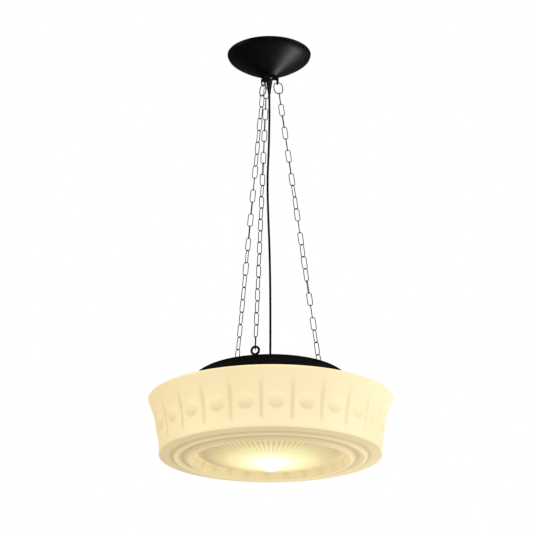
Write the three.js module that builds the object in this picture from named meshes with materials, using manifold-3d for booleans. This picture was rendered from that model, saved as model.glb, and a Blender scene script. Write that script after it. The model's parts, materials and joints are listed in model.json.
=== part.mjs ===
// Three-chain pan light: a spun canopy and stamped chain spider at the ceiling, three link chains, a cord down
// the middle, and a metal pan that grips the neck of a moulded opal glass shade around one screw-in bulb.
// Millimetres, +Z up. The origin is the middle of the mounting strap's top face, on the ceiling.

import * as THREE from "three";
import { mergeVertices } from "three/addons/utils/BufferGeometryUtils.js";
import Module from "manifold-3d";

const wasm = await Module();
wasm.setup();

// ---- driving dimensions ----

const GAP = 0.3; // between pieces that touch
const SWING_GAP = 0.5; // between pieces that turn against each other

const STRAP_CLEARANCE = 1; // bent ends to the canopy's inside
const STRAP_WIDTH = 20;
const STRAP_THICKNESS = 2;
const STRAP_TAB = 8; // how far the bent ends reach down
const STRAP_SLOT_SPACING = 56;
const STRAP_SLOT_LENGTH = 14;
const STRAP_SLOT_WIDTH = 5;

const CANOPY_RADIUS = 64;
const CANOPY_DEPTH = 37.5;
const CANOPY_NECK_RADIUS = 11.5;
const CANOPY_WALL = 1.2;
const SIDE_SCREW_RADIUS = 2;
const SIDE_SCREW_HEAD_RADIUS = 3.8;
const SIDE_SCREW_HEAD = 2;
const SIDE_SCREW_DROP = 4.4; // screw axis below the ceiling

const NIPPLE_RADIUS = 5; // M10 tube
const NIPPLE_BORE = 3.4;
const NUT_ACROSS = 14;
const NUT_HEIGHT = 3.5;
const WASHER_MARGIN = 2.5; // washer edge inside the canopy's neck
const WASHER_THICKNESS = 1.2;
const NIPPLE_ABOVE_NUT = 3;

const SPIDER_PLATE = 2.4;
const SPIDER_HUB_RADIUS = 9;
const SPIDER_TAB_THICKNESS = 1.5;
const SPIDER_TAB_WIDTH = 9.2;
const SPIDER_HOLE_RADIUS = 3;
const SPIDER_TAB_EDGE = 1.6; // metal left below the hole
const RING_PLAY = 1; // between a ring and the foot of its hole, so that it can tilt there
const RING_PIVOT_DROP = 5.6; // ring's top bar below the spider plate
const RING_CIRCLE = 13; // radius of the circle the rings hang on

const GRIP_RADIUS = 8.4;
const GRIP_HEIGHT = 7;
const BLOCK_SIZE = [0.34 * CANOPY_RADIUS, 16, 11];
const BLOCK_CENTRE = [-0.39 * CANOPY_RADIUS, 0, -11];

const CORD_RADIUS = 1.6;
const CORD_SIDES = 8;
const BOOT_BALL_RADIUS = 5;
const BOOT_TIP_RADIUS = 2.6;
const CORD_TOP_ABOVE_PIVOT = 2.3;
const CORD_BOW = 3; // the cord's sideways bow
const CORD_STEPS = 44;

const CHAIN_COUNT = 3;
const FIRST_CHAIN_ANGLE = 13.5; // degrees from +X
const RING_WIRE_RADIUS = 0.75;
const RING_WIDTH = 15;
const RING_HEIGHT = 20;
const LINK_COUNT = 23;
const LINK_WIRE_RADIUS = 0.6;
const LINK_WIDTH = 8.4;
const LINK_INSIDE = 18.7;
const LINK_BITE = 0.3; // links of one chain are joined where they touch
const LINK_SIDES = 4;
const WIRE_SIDES = 6;
const EYE_CIRCLE = 74; // radius of the circle of pan eyes

const EYE_WIRE_RADIUS = 1.7;
const EYE_OUTSIDE_RADIUS = 7.2;
const EYE_PLAY = 1.6;
const EYE_SHOULDER = 4.9; // pan face to the underside of the eye
const EYE_SHANK_RADIUS = 2;
const EYE_NUT_ACROSS = 8;
const EYE_NUT_HEIGHT = 3.2;

const PAN_SHOULDER = 18; // width of the rounded shoulder
const PAN_SHOULDER_DROP = 11;
const PAN_DEPTH = 31;
const PAN_WALL = 1;
const PAN_CLEARANCE = 4; // skirt to the bead of the glass
const LOWER_BOOT_RADIUS = 6;
const LOWER_BOOT_TIP_RADIUS = 2.6;

const NECK_RADIUS = 101.6; // 8 inch fitter
const NECK_BEAD = 3.4;
const NECK_TOP_BELOW_PAN = 15;
const NECK_HEIGHT = 20;
const LIP_RADIUS = 175;
const LIP_BELOW_PAN = 41.7;
const WALL_TAPER = 16.6; // lip radius less base radius
const WALL_FLARE = 1.6; // how sharply the wall hollows in below the lip
const LIP_HEIGHT = 4.6; // the lip's top above its widest circle
const GLASS_WALL = 4;
const MEDALLION_RADIUS = 113;
const MEDALLION_STEP = 7; // how far the medallion's rim stands below the base ring
const DOME_RADIUS = 107;
const DOME_SAG = 15;
const DOME_BELOW_RIM = 6; // the dome's lowest point below the medallion's rim
const KNOB_RADIUS = 18;
const KNOB_HEIGHT = 8;

const THUMB_SHANK_RADIUS = 2.5;
const THUMB_KNOB_RADIUS = 5;
const THUMB_KNOB_LENGTH = 7;
const THUMB_ABOVE_SKIRT_END = 5.5;

const HOLDER_SKIRT = 5.8; // holder's outside beyond the bulb cap
const HOLDER_CAP_HEIGHT = 14;
const HOLDER_SHELL_HEIGHT = 27;
const HOLDER_WALL = 2.4;
const CONTACT_HEIGHT = 5;
const BULB_CAP_RADIUS = 13.2; // E27
const BULB_CAP_LENGTH = 25;
const BULB_RADIUS = 30;
const BULB_LENGTH = 100;
const BULB_ROOM = 17; // bulb's foot to the glass under it

// ---- worked out from them ----

const DOWN = Math.PI / 180;
const CANOPY_FLOOR = -CANOPY_DEPTH;
const SPIDER_TOP = CANOPY_FLOOR - GAP;
const SPIDER_BOTTOM = SPIDER_TOP - SPIDER_PLATE;
const RING_PIVOT_Z = SPIDER_BOTTOM - RING_PIVOT_DROP;
const RING_TO_LINK = RING_HEIGHT - 3 * RING_WIRE_RADIUS - LINK_WIRE_RADIUS - SWING_GAP;
const LINK_PITCH = LINK_INSIDE + LINK_BITE;
const LINK_TURN = ((LINK_COUNT - 1 - (LINK_COUNT % 2)) / (LINK_COUNT - 1)) * 90 * DOWN; // each from the last
const LINK_BARS = LINK_INSIDE + 2 * LINK_WIRE_RADIUS; // top bar to bottom bar of one link
const CHAIN_LENGTH = (LINK_COUNT - 1) * LINK_PITCH + LINK_BARS;
const LEAN = Math.asin((EYE_CIRCLE - RING_CIRCLE) / (RING_TO_LINK + CHAIN_LENGTH));
const LINK_CIRCLE = RING_CIRCLE + RING_TO_LINK * Math.sin(LEAN);
const LINK_PIVOT_Z = RING_PIVOT_Z - RING_TO_LINK * Math.cos(LEAN);
const EYE_PIVOT_Z = LINK_PIVOT_Z - CHAIN_LENGTH * Math.cos(LEAN);
const EYE_TOP_BAR_Z = EYE_PIVOT_Z + LINK_WIRE_RADIUS + EYE_PLAY + EYE_WIRE_RADIUS;
const EYE_BAR_RADIUS = EYE_OUTSIDE_RADIUS - EYE_WIRE_RADIUS;
const EYE_CENTRE_Z = EYE_TOP_BAR_Z - EYE_BAR_RADIUS;
const PAN_TOP = EYE_CENTRE_Z - EYE_OUTSIDE_RADIUS - EYE_SHOULDER;
const SKIRT_END = PAN_TOP - PAN_DEPTH;
const THUMB_Z = SKIRT_END + THUMB_ABOVE_SKIRT_END;
const PAN_RADIUS = NECK_RADIUS + NECK_BEAD + PAN_CLEARANCE + PAN_WALL;
const PAN_TOP_RADIUS = PAN_RADIUS - PAN_SHOULDER;
const HOLDER_NUT_TOP = PAN_TOP - PAN_WALL - GAP;
const HOLDER_CAP_TOP = HOLDER_NUT_TOP - NUT_HEIGHT - GAP;
const HOLDER_NIPPLE_END = HOLDER_CAP_TOP - 4;
const CONTACT_TOP = HOLDER_NIPPLE_END - GAP;
const BULB_TOP = CONTACT_TOP - CONTACT_HEIGHT - GAP;
const HOLDER_RADIUS = BULB_CAP_RADIUS + HOLDER_SKIRT;
const LIP_Z = PAN_TOP - LIP_BELOW_PAN;
const DOME_LOWEST = BULB_TOP - BULB_LENGTH - BULB_ROOM - GLASS_WALL;
const MEDALLION_RIM = DOME_LOWEST + DOME_BELOW_RIM;
const BASE_Z = MEDALLION_RIM + MEDALLION_STEP;
const SHADE_DEPTH = LIP_Z - BASE_Z; // widest circle of the lip to the base corner
const BASE_RADIUS = LIP_RADIUS - WALL_TAPER;

// ---- shaping helpers ----

function clean(geometry) {
  const flat = geometry.index ? geometry : geometry.clone();
  flat.deleteAttribute("normal");
  flat.deleteAttribute("uv");
  const merged = mergeVertices(flat, 1e-4);
  const corners = merged.index.array;
  const kept = [];
  for (let i = 0; i < corners.length; i += 3) {
    const [a, b, c] = [corners[i], corners[i + 1], corners[i + 2]];
    if (a !== b && b !== c && c !== a) kept.push(a, b, c);
  }
  merged.setIndex(kept);
  return merged;
}

function solid(geometry) {
  const merged = clean(geometry);
  return new wasm.Manifold(
    new wasm.Mesh({
      numProp: 3,
      vertProperties: new Float32Array(merged.attributes.position.array),
      triVerts: new Uint32Array(merged.index.array),
    })
  );
}

function shape(manifold) {
  const mesh = manifold.getMesh();
  const geometry = new THREE.BufferGeometry();
  geometry.setAttribute("position", new THREE.BufferAttribute(new Float32Array(mesh.vertProperties), 3));
  geometry.setIndex(Array.from(mesh.triVerts));
  return geometry;
}

// A turned shape about Z. The outline runs anticlockwise seen with +Z up, and closes on itself or on the axis.
function turned(outline, sides = 24) {
  const points = outline.map(([radius, z]) => new THREE.Vector2(radius, z));
  return new THREE.LatheGeometry(points, sides).rotateX(Math.PI / 2);
}

function closed(outline) {
  return [...outline, outline[0]];
}

function rod(radius, bottom, top, sides = 16) {
  return turned([[0, bottom], [radius, bottom], [radius, top], [0, top]], sides);
}

function tube(outer, inner, bottom, top, sides = 24) {
  return turned(closed([[inner, bottom], [outer, bottom], [outer, top], [inner, top]]), sides);
}

// A rod along the direction from the Z axis outwards at a bearing, between two distances from the axis.
function radialRod(radius, near, far, z, angle, sides = 12) {
  const geometry = rod(radius, near, far, sides);
  return geometry.rotateY(Math.PI / 2).rotateZ(angle).translate(0, 0, z);
}

function box(size, centre) {
  return new THREE.BoxGeometry(...size).translate(...centre);
}

// A hexagon nut with a round hole, standing on z = bottom.
function nut(across, height, hole, bottom) {
  const blank = rod(across / Math.sqrt(3), bottom, bottom + height, 6);
  const drill = rod(hole, bottom - 1, bottom + height + 1, 16);
  return shape(solid(blank).subtract(solid(drill)));
}

// A wire loop in the XZ plane with round ends, its outside width and height given, centred on the origin.
function wireLoop(width, height, wire, turns, sides = WIRE_SIDES) {
  const bend = width / 2 - wire;
  const stretch = height / 2 - wire - bend;
  const loop = new THREE.TorusGeometry(bend, wire, sides, turns).rotateZ(Math.PI / turns);
  const spots = loop.attributes.position;
  for (let i = 0; i < spots.count; i += 1) {
    spots.setY(i, spots.getY(i) + Math.sign(spots.getY(i)) * stretch);
  }
  return loop.rotateX(Math.PI / 2);
}

function tubeAlong(points, radius, sides, steps) {
  const section = new THREE.Shape();
  for (let i = 0; i < sides; i += 1) {
    const turn = (2 * Math.PI * i) / sides;
    const move = i === 0 ? "moveTo" : "lineTo";
    section[move](radius * Math.cos(turn), radius * Math.sin(turn));
  }
  const path = new THREE.CatmullRomCurve3(points.map((point) => new THREE.Vector3(...point)));
  return new THREE.ExtrudeGeometry(section, { steps, extrudePath: path, bevelEnabled: false });
}

// ---- materials ----

const blackIron = { color: 0x0f0f0e, roughness: 0.42, metalness: 0.6 };
const zincSteel = { color: 0x9a9a98, roughness: 0.4, metalness: 0.9 };
const brass = { color: 0xb08d4c, roughness: 0.35, metalness: 0.9 };
const blackCord = { color: 0x0b0b0b, roughness: 0.7, metalness: 0 };
const whitePlastic = { color: 0xe8e6df, roughness: 0.5, metalness: 0 };
const blackPlastic = { color: 0x121212, roughness: 0.5, metalness: 0 };
const opalGlass = { color: 0xfbeec0, roughness: 0.35, metalness: 0 };
const bulbGlass = { color: 0xfff8e4, roughness: 0.3, metalness: 0 };

const group = new THREE.Group();

function add(name, geometry, look) {
  const mesh = new THREE.Mesh(clean(geometry), new THREE.MeshStandardMaterial(look));
  mesh.name = name;
  group.add(mesh);
  return mesh;
}

// ---- ceiling end ----

// Outside outline of the canopy from the neck up to the rim.
const canopyOutside = [
  [CANOPY_NECK_RADIUS, CANOPY_FLOOR],
  [CANOPY_NECK_RADIUS + 1.5, CANOPY_FLOOR + 1],
  [0.27 * CANOPY_RADIUS, -0.92 * CANOPY_DEPTH],
  [0.42 * CANOPY_RADIUS, -0.77 * CANOPY_DEPTH],
  [0.66 * CANOPY_RADIUS, -0.52 * CANOPY_DEPTH],
  [0.85 * CANOPY_RADIUS, -0.31 * CANOPY_DEPTH],
  [0.955 * CANOPY_RADIUS, -0.165 * CANOPY_DEPTH],
  [0.99 * CANOPY_RADIUS, -0.065 * CANOPY_DEPTH],
  [CANOPY_RADIUS, -GAP],
];

const canopyInside = canopyOutside.slice(1).map(([radius, z]) => [radius - CANOPY_WALL, z + CANOPY_WALL]);
canopyInside[canopyInside.length - 1][1] = -GAP;

function canopyInsideRadius(z) {
  const upper = canopyInside.findIndex(([, height]) => height >= z);
  const [lowRadius, lowZ] = canopyInside[upper - 1];
  const [highRadius, highZ] = canopyInside[upper];
  return lowRadius + ((highRadius - lowRadius) * (z - lowZ)) / (highZ - lowZ);
}

const strapHalf = Math.sqrt(canopyInsideRadius(-STRAP_TAB) ** 2 - (STRAP_WIDTH / 2) ** 2) - STRAP_CLEARANCE;

function mountingStrap() {
  let strap = solid(box([STRAP_WIDTH, 2 * strapHalf, STRAP_THICKNESS], [0, 0, -STRAP_THICKNESS / 2]));
  for (const side of [-1, 1]) {
    const tabY = side * (strapHalf - STRAP_THICKNESS / 2);
    strap = strap.add(solid(box([STRAP_WIDTH, STRAP_THICKNESS, STRAP_TAB], [0, tabY, -STRAP_TAB / 2])));
    const slotY = (side * STRAP_SLOT_SPACING) / 2;
    const slotSize = [STRAP_SLOT_WIDTH, STRAP_SLOT_LENGTH, 3 * STRAP_THICKNESS];
    strap = strap.subtract(solid(box(slotSize, [0, slotY, 0])));
    const bearing = (side * Math.PI) / 2;
    const reach = strapHalf - 2 * STRAP_THICKNESS;
    const hole = radialRod(SIDE_SCREW_RADIUS + GAP, reach, strapHalf + 1, -SIDE_SCREW_DROP, bearing);
    strap = strap.subtract(solid(hole));
  }
  return shape(strap);
}

function canopy() {
  const outline = closed([
    [NIPPLE_RADIUS + GAP, CANOPY_FLOOR],
    ...canopyOutside,
    ...canopyInside.toReversed(),
    [CANOPY_NECK_RADIUS - 1, CANOPY_FLOOR + CANOPY_WALL],
    [NIPPLE_RADIUS + GAP, CANOPY_FLOOR + CANOPY_WALL],
  ]);
  let shell = solid(turned(outline, 32));
  for (const side of [-1, 1]) {
    const bearing = (side * Math.PI) / 2;
    const near = CANOPY_RADIUS - 12;
    const hole = radialRod(SIDE_SCREW_RADIUS + GAP, near, CANOPY_RADIUS + 5, -SIDE_SCREW_DROP, bearing);
    shell = shell.subtract(solid(hole));
  }
  return shape(shell);
}

function sideScrew(side) {
  const seat = CANOPY_RADIUS + GAP;
  const shank = solid(rod(SIDE_SCREW_RADIUS, strapHalf - STRAP_THICKNESS - 1, seat + 0.5, 12));
  const head = solid(
    turned([
      [0, seat],
      [SIDE_SCREW_HEAD_RADIUS, seat],
      [SIDE_SCREW_HEAD_RADIUS, seat + 0.5 * SIDE_SCREW_HEAD],
      [0.55 * SIDE_SCREW_HEAD_RADIUS, seat + SIDE_SCREW_HEAD],
      [0, seat + SIDE_SCREW_HEAD],
    ])
  );
  const slotSize = [2 * SIDE_SCREW_HEAD_RADIUS + 1, 1, 1.6];
  const slot = solid(box(slotSize, [0, 0, seat + SIDE_SCREW_HEAD]));
  const screw = shape(shank.add(head).subtract(slot));
  return screw.rotateX(side > 0 ? -Math.PI / 2 : Math.PI / 2).translate(0, 0, -SIDE_SCREW_DROP);
}

const washerBottom = CANOPY_FLOOR + CANOPY_WALL + GAP;
const nutBottom = washerBottom + WASHER_THICKNESS + GAP;
const nippleTop = nutBottom + NUT_HEIGHT + NIPPLE_ABOVE_NUT;

// The stamped plate: a hub with three arms, each bent down into a tab with a hole for its ring.
function chainSpider() {
  let plate = solid(rod(SPIDER_HUB_RADIUS, SPIDER_BOTTOM, SPIDER_TOP, 24));
  const outer = RING_CIRCLE + SPIDER_TAB_THICKNESS / 2;
  const holeZ = RING_PIVOT_Z + SPIDER_HOLE_RADIUS - RING_WIRE_RADIUS - RING_PLAY;
  const tabEnd = holeZ - SPIDER_HOLE_RADIUS - SPIDER_TAB_EDGE;
  for (let k = 0; k < CHAIN_COUNT; k += 1) {
    const bearing = chainBearing(k);
    const arm = box([outer, SPIDER_TAB_WIDTH, SPIDER_PLATE], [outer / 2, 0, SPIDER_TOP - SPIDER_PLATE / 2]);
    const tabHeight = SPIDER_TOP - holeZ;
    const tab = box([SPIDER_TAB_THICKNESS, SPIDER_TAB_WIDTH, tabHeight], [RING_CIRCLE, 0, SPIDER_TOP - tabHeight / 2]);
    const near = RING_CIRCLE - SPIDER_TAB_THICKNESS / 2;
    const roundEnd = radialRod(SPIDER_TAB_WIDTH / 2, near, outer, holeZ, 0, 20);
    const hole = radialRod(SPIDER_HOLE_RADIUS, near - 1, outer + 1, holeZ, 0, 16);
    const limit = box([4 * outer, 4 * outer, 60], [0, 0, tabEnd + 30]);
    let bent = solid(tab).add(solid(roundEnd)).subtract(solid(hole)).intersect(solid(limit));
    bent = bent.add(solid(arm));
    plate = plate.add(bent.rotate([0, 0, bearing / DOWN]));
  }
  const bore = rod(NIPPLE_RADIUS + GAP, SPIDER_BOTTOM - 1, SPIDER_TOP + 1, 20);
  return shape(plate.subtract(solid(bore)));
}

function chainBearing(k) {
  return (FIRST_CHAIN_ANGLE + (360 / CHAIN_COUNT) * k) * DOWN;
}

add("mounting_strap", mountingStrap(), zincSteel);
add("canopy", canopy(), blackIron);
add("canopy_screw_near", sideScrew(-1), blackIron);
add("canopy_screw_far", sideScrew(1), blackIron);
add("chain_spider", chainSpider(), blackIron);
add("threaded_nipple", tube(NIPPLE_RADIUS, NIPPLE_BORE, SPIDER_BOTTOM, nippleTop, 20), zincSteel);
add("nipple_washer", tube(CANOPY_NECK_RADIUS - WASHER_MARGIN, NIPPLE_RADIUS + GAP, washerBottom, washerBottom + WASHER_THICKNESS), zincSteel);
add("nipple_nut", nut(NUT_ACROSS, NUT_HEIGHT, NIPPLE_RADIUS + GAP, nutBottom), zincSteel);

const gripBottom = nippleTop + GAP;
const gripTop = gripBottom + GRIP_HEIGHT;
add("cord_grip", tube(GRIP_RADIUS, CORD_RADIUS + GAP, gripBottom, gripTop), blackPlastic);
add("terminal_block", box(BLOCK_SIZE, BLOCK_CENTRE), whitePlastic);

const leadStart = BLOCK_CENTRE[0] + BLOCK_SIZE[0] / 2 + GAP;
const leadRoute = [
  [leadStart, 0, BLOCK_CENTRE[2]],
  [leadStart / 2, 0, BLOCK_CENTRE[2] - 1],
  [-2, 0, BLOCK_CENTRE[2] - 4],
  [0, 0, gripTop],
  [0, 0, gripBottom],
  [0, 0, nippleTop - 4],
  [0, 0, SPIDER_BOTTOM + GAP],
];
add("canopy_lead", tubeAlong(leadRoute, CORD_RADIUS, 8, 14), blackCord);

// ---- cord ----

const bootTip = LINK_PIVOT_Z + CORD_TOP_ABOVE_PIVOT + 0.9;

// The boot hangs from a ball end just under the spider, and tapers down to the cord.
function boot() {
  const outline = [[0, bootTip], [BOOT_TIP_RADIUS, bootTip], [BOOT_TIP_RADIUS, bootTip + 3]];
  for (let step = 0; step <= 6; step += 1) {
    const turn = (step / 6) * (Math.PI / 2);
    outline.push([BOOT_BALL_RADIUS * Math.cos(turn), RING_PIVOT_Z + BOOT_BALL_RADIUS * Math.sin(turn)]);
  }
  return turned(outline, 16);
}

const lowerBootTop = EYE_PIVOT_Z - CORD_TOP_ABOVE_PIVOT - 0.9;

// The lower boot stands on the pan. Its foot is rounded so that it can tip with the cord.
function lowerBoot() {
  const foot = PAN_TOP + GAP;
  return turned([
    [0, foot],
    [0.5 * LOWER_BOOT_RADIUS, foot + 0.3],
    [LOWER_BOOT_RADIUS, foot + 1.1],
    [LOWER_BOOT_RADIUS, foot + 4],
    [LOWER_BOOT_TIP_RADIUS, foot + 9],
    [LOWER_BOOT_TIP_RADIUS, lowerBootTop],
    [0, lowerBootTop],
  ], 16);
}

// The cord's free stretch, as shares of its height and of its sideways bow.
const cordRoute = [
  [0, 0],
  [0.1, 0.02],
  [0.22, -0.35],
  [0.34, -1],
  [0.46, -0.75],
  [0.58, -0.2],
  [0.7, 0.1],
  [0.85, 0.15],
  [1, 0],
];
const cordTop = LINK_PIVOT_Z + CORD_TOP_ABOVE_PIVOT;
const cordEnd = EYE_PIVOT_Z - CORD_TOP_ABOVE_PIVOT;
const cordPoints = cordRoute.map(([down, bow]) => [CORD_BOW * bow, 0, cordTop + (cordEnd - cordTop) * down]);

add("upper_boot", boot(), blackPlastic);
add("pendant_cord", tubeAlong(cordPoints, CORD_RADIUS, CORD_SIDES, CORD_STEPS), blackCord);
add("lower_boot", lowerBoot(), blackPlastic);

// ---- chains ----

// A piece drawn with its pull along -Z from the origin, leaned outwards and turned to its bearing.
function hung(geometry, k, circle, z) {
  const leaned = geometry.rotateY(-LEAN);
  const bearing = chainBearing(k);
  return leaned.rotateZ(bearing).translate(circle * Math.cos(bearing), circle * Math.sin(bearing), z);
}

function ring(k) {
  const loop = wireLoop(RING_WIDTH, RING_HEIGHT, RING_WIRE_RADIUS, 10);
  loop.translate(0, 0, RING_WIRE_RADIUS - RING_HEIGHT / 2);
  return hung(loop, k, RING_CIRCLE, RING_PIVOT_Z);
}

function chain(k) {
  let links = null;
  const linkHeight = LINK_INSIDE + 4 * LINK_WIRE_RADIUS;
  for (let i = 0; i < LINK_COUNT; i += 1) {
    const loop = wireLoop(LINK_WIDTH, linkHeight, LINK_WIRE_RADIUS, 6, LINK_SIDES);
    loop.rotateZ(Math.PI / 2 + i * LINK_TURN);
    loop.translate(0, 0, LINK_WIRE_RADIUS - linkHeight / 2 - i * LINK_PITCH);
    links = links ? links.add(solid(loop)) : solid(loop);
  }
  return hung(shape(links), k, LINK_CIRCLE, LINK_PIVOT_Z);
}

// An eye with a shank that passes through the pan, drawn about its own axis.
function eyebolt() {
  const eye = wireLoop(2 * EYE_OUTSIDE_RADIUS, 2 * EYE_OUTSIDE_RADIUS, EYE_WIRE_RADIUS, 14);
  eye.rotateZ(Math.PI / 2).translate(0, 0, EYE_CENTRE_Z);
  const seat = PAN_TOP + GAP;
  const collarTop = EYE_CENTRE_Z - EYE_OUTSIDE_RADIUS + EYE_WIRE_RADIUS;
  const collar = turned([[0, seat], [3.5 * EYE_SHANK_RADIUS, seat], [EYE_SHANK_RADIUS, collarTop], [0, collarTop]], 12);
  const shankEnd = PAN_TOP - PAN_WALL - EYE_NUT_HEIGHT - 2.5;
  const shank = rod(EYE_SHANK_RADIUS, shankEnd, seat + 1, 12);
  return shape(solid(eye).add(solid(collar)).add(solid(shank)));
}

function onEyeCircle(geometry, k) {
  const bearing = chainBearing(k);
  return geometry.rotateZ(bearing).translate(EYE_CIRCLE * Math.cos(bearing), EYE_CIRCLE * Math.sin(bearing), 0);
}

for (let k = 0; k < CHAIN_COUNT; k += 1) {
  add(`split_ring_${k + 1}`, ring(k), blackIron);
  add(`chain_${k + 1}`, chain(k), blackIron);
  add(`pan_eyebolt_${k + 1}`, onEyeCircle(eyebolt(), k), blackIron);
  const nutTop = PAN_TOP - PAN_WALL - GAP;
  const eyeNut = nut(EYE_NUT_ACROSS, EYE_NUT_HEIGHT, EYE_SHANK_RADIUS + GAP, nutTop - EYE_NUT_HEIGHT);
  add(`eyebolt_nut_${k + 1}`, onEyeCircle(eyeNut, k), zincSteel);
}

// ---- pan ----

function fitterPan() {
  const inner = PAN_RADIUS - PAN_WALL;
  const outline = closed([
    [inner, SKIRT_END],
    [PAN_RADIUS, SKIRT_END],
    [PAN_RADIUS, PAN_TOP - PAN_SHOULDER_DROP],
    [PAN_TOP_RADIUS + 0.72 * (PAN_RADIUS - PAN_TOP_RADIUS), PAN_TOP - 0.45 * PAN_SHOULDER_DROP],
    [PAN_TOP_RADIUS, PAN_TOP],
    [NIPPLE_RADIUS + GAP, PAN_TOP],
    [NIPPLE_RADIUS + GAP, PAN_TOP - PAN_WALL],
    [PAN_TOP_RADIUS - PAN_WALL, PAN_TOP - PAN_WALL],
    [inner - 0.28 * (PAN_RADIUS - PAN_TOP_RADIUS), PAN_TOP - 0.45 * PAN_SHOULDER_DROP - PAN_WALL],
    [inner, PAN_TOP - PAN_SHOULDER_DROP],
  ]);
  let pan = solid(turned(outline, 36));
  for (let k = 0; k < CHAIN_COUNT; k += 1) {
    const hole = rod(EYE_SHANK_RADIUS + GAP, PAN_TOP - 3 * PAN_WALL, PAN_TOP + PAN_WALL, 12);
    pan = pan.subtract(solid(onEyeCircle(hole, k)));
    const screwHole = radialRod(THUMB_SHANK_RADIUS + GAP, inner - 3, PAN_RADIUS + 3, THUMB_Z, thumbBearing(k));
    pan = pan.subtract(solid(screwHole));
  }
  return shape(pan);
}

function thumbBearing(k) {
  return chainBearing(k) + Math.PI / CHAIN_COUNT;
}

// A knurled-head screw whose tip presses on the glass neck under its bead.
function thumbscrew(k) {
  const tip = NECK_RADIUS + GAP;
  const knob = PAN_RADIUS + 3;
  const screw = turned([
    [0, tip],
    [THUMB_SHANK_RADIUS, tip],
    [THUMB_SHANK_RADIUS, knob],
    [THUMB_KNOB_RADIUS, knob],
    [THUMB_KNOB_RADIUS, knob + THUMB_KNOB_LENGTH],
    [0, knob + THUMB_KNOB_LENGTH],
  ], 16);
  return screw.rotateY(Math.PI / 2).rotateZ(thumbBearing(k)).translate(0, 0, THUMB_Z);
}

add("fitter_pan", fitterPan(), blackIron);
for (let k = 0; k < CHAIN_COUNT; k += 1) {
  add(`thumbscrew_${k + 1}`, thumbscrew(k), brass);
}

// ---- glass shade ----

// The outside wall falls from the lip in a hollow flare that is steepest just under the lip.
function wallPoint(share, inset = 0) {
  const radius = BASE_RADIUS + (LIP_RADIUS - BASE_RADIUS) * (1 - share) ** WALL_FLARE;
  return [radius - inset, LIP_Z - share * SHADE_DEPTH];
}

// A shallow dome in the middle of the underside, drawn on the outside or one wall above it.
function domePoint(share, lift = 0) {
  return [DOME_RADIUS * share, DOME_LOWEST + DOME_SAG * share ** 2 + lift];
}

const neckTop = PAN_TOP - NECK_TOP_BELOW_PAN;
const neckFoot = neckTop - NECK_HEIGHT;
const lipTop = LIP_Z + LIP_HEIGHT;

function glassShade() {
  const outside = [
    [0, DOME_LOWEST - KNOB_HEIGHT],
    [0.6 * KNOB_RADIUS, DOME_LOWEST - 0.8 * KNOB_HEIGHT],
    domePoint(KNOB_RADIUS / DOME_RADIUS),
    ...[0.5, 0.75, 1].map((share) => domePoint(share)),
    [0.5 * (DOME_RADIUS + MEDALLION_RADIUS), MEDALLION_RIM],
    [MEDALLION_RADIUS, MEDALLION_RIM],
    [MEDALLION_RADIUS + 5, MEDALLION_RIM + 0.5 * MEDALLION_STEP],
    [0.5 * (MEDALLION_RADIUS + BASE_RADIUS), BASE_Z - 0.3 * MEDALLION_STEP],
    [BASE_RADIUS - 3, BASE_Z],
    ...[0.96, 0.7, 0.45, 0.22, 0].map((share) => wallPoint(share)),
    [LIP_RADIUS - 1, LIP_Z + 0.6 * LIP_HEIGHT],
    [LIP_RADIUS - 5, lipTop],
    [LIP_RADIUS - 16, lipTop - 3],
    [NECK_RADIUS + 16, neckFoot],
    [NECK_RADIUS, neckFoot + 1],
    [NECK_RADIUS, neckTop - 6],
    [NECK_RADIUS + NECK_BEAD, neckTop - 4],
    [NECK_RADIUS + NECK_BEAD, neckTop],
  ];
  const inside = [
    [NECK_RADIUS - GLASS_WALL, neckTop],
    [NECK_RADIUS - GLASS_WALL, neckFoot - GLASS_WALL],
    [LIP_RADIUS - 16, lipTop - 3 - GLASS_WALL],
    ...[0, 0.45, 0.9].map((share) => wallPoint(share, GLASS_WALL + 0.5)),
    [BASE_RADIUS - 10, BASE_Z + GLASS_WALL],
    ...[1, 0.5, 0].map((share) => domePoint(share, GLASS_WALL)),
  ];
  return turned([...outside, ...inside], 36);
}

add("glass_shade", glassShade(), opalGlass);

// ---- lampholder and bulb ----

const capEnd = HOLDER_CAP_TOP - HOLDER_CAP_HEIGHT;
const shellEnd = capEnd - GAP - HOLDER_SHELL_HEIGHT;

function holderCap() {
  const hole = NIPPLE_RADIUS + GAP;
  const inner = HOLDER_RADIUS - HOLDER_WALL;
  return turned(closed([
    [inner, capEnd],
    [HOLDER_RADIUS, capEnd],
    [HOLDER_RADIUS, HOLDER_CAP_TOP - 4],
    [HOLDER_RADIUS - 5, HOLDER_CAP_TOP],
    [hole, HOLDER_CAP_TOP],
    [hole, HOLDER_CAP_TOP - HOLDER_WALL],
    [inner - 4, HOLDER_CAP_TOP - HOLDER_WALL],
    [inner, HOLDER_CAP_TOP - 4 - HOLDER_WALL],
  ]));
}

function bulbGlassShape() {
  const cap = BULB_TOP - BULB_CAP_LENGTH - GAP;
  const bottom = BULB_TOP - BULB_LENGTH;
  const ballZ = bottom + BULB_RADIUS;
  const outline = [];
  for (let step = 0; step <= 7; step += 1) {
    const turn = -Math.PI / 2 + (step / 7) * (0.75 * Math.PI);
    outline.push([BULB_RADIUS * Math.cos(turn), ballZ + BULB_RADIUS * Math.sin(turn)]);
  }
  outline.push([BULB_CAP_RADIUS, cap - 6], [BULB_CAP_RADIUS - 0.5, cap], [0, cap]);
  outline[0][0] = 0;
  return turned(outline, 18);
}

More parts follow.
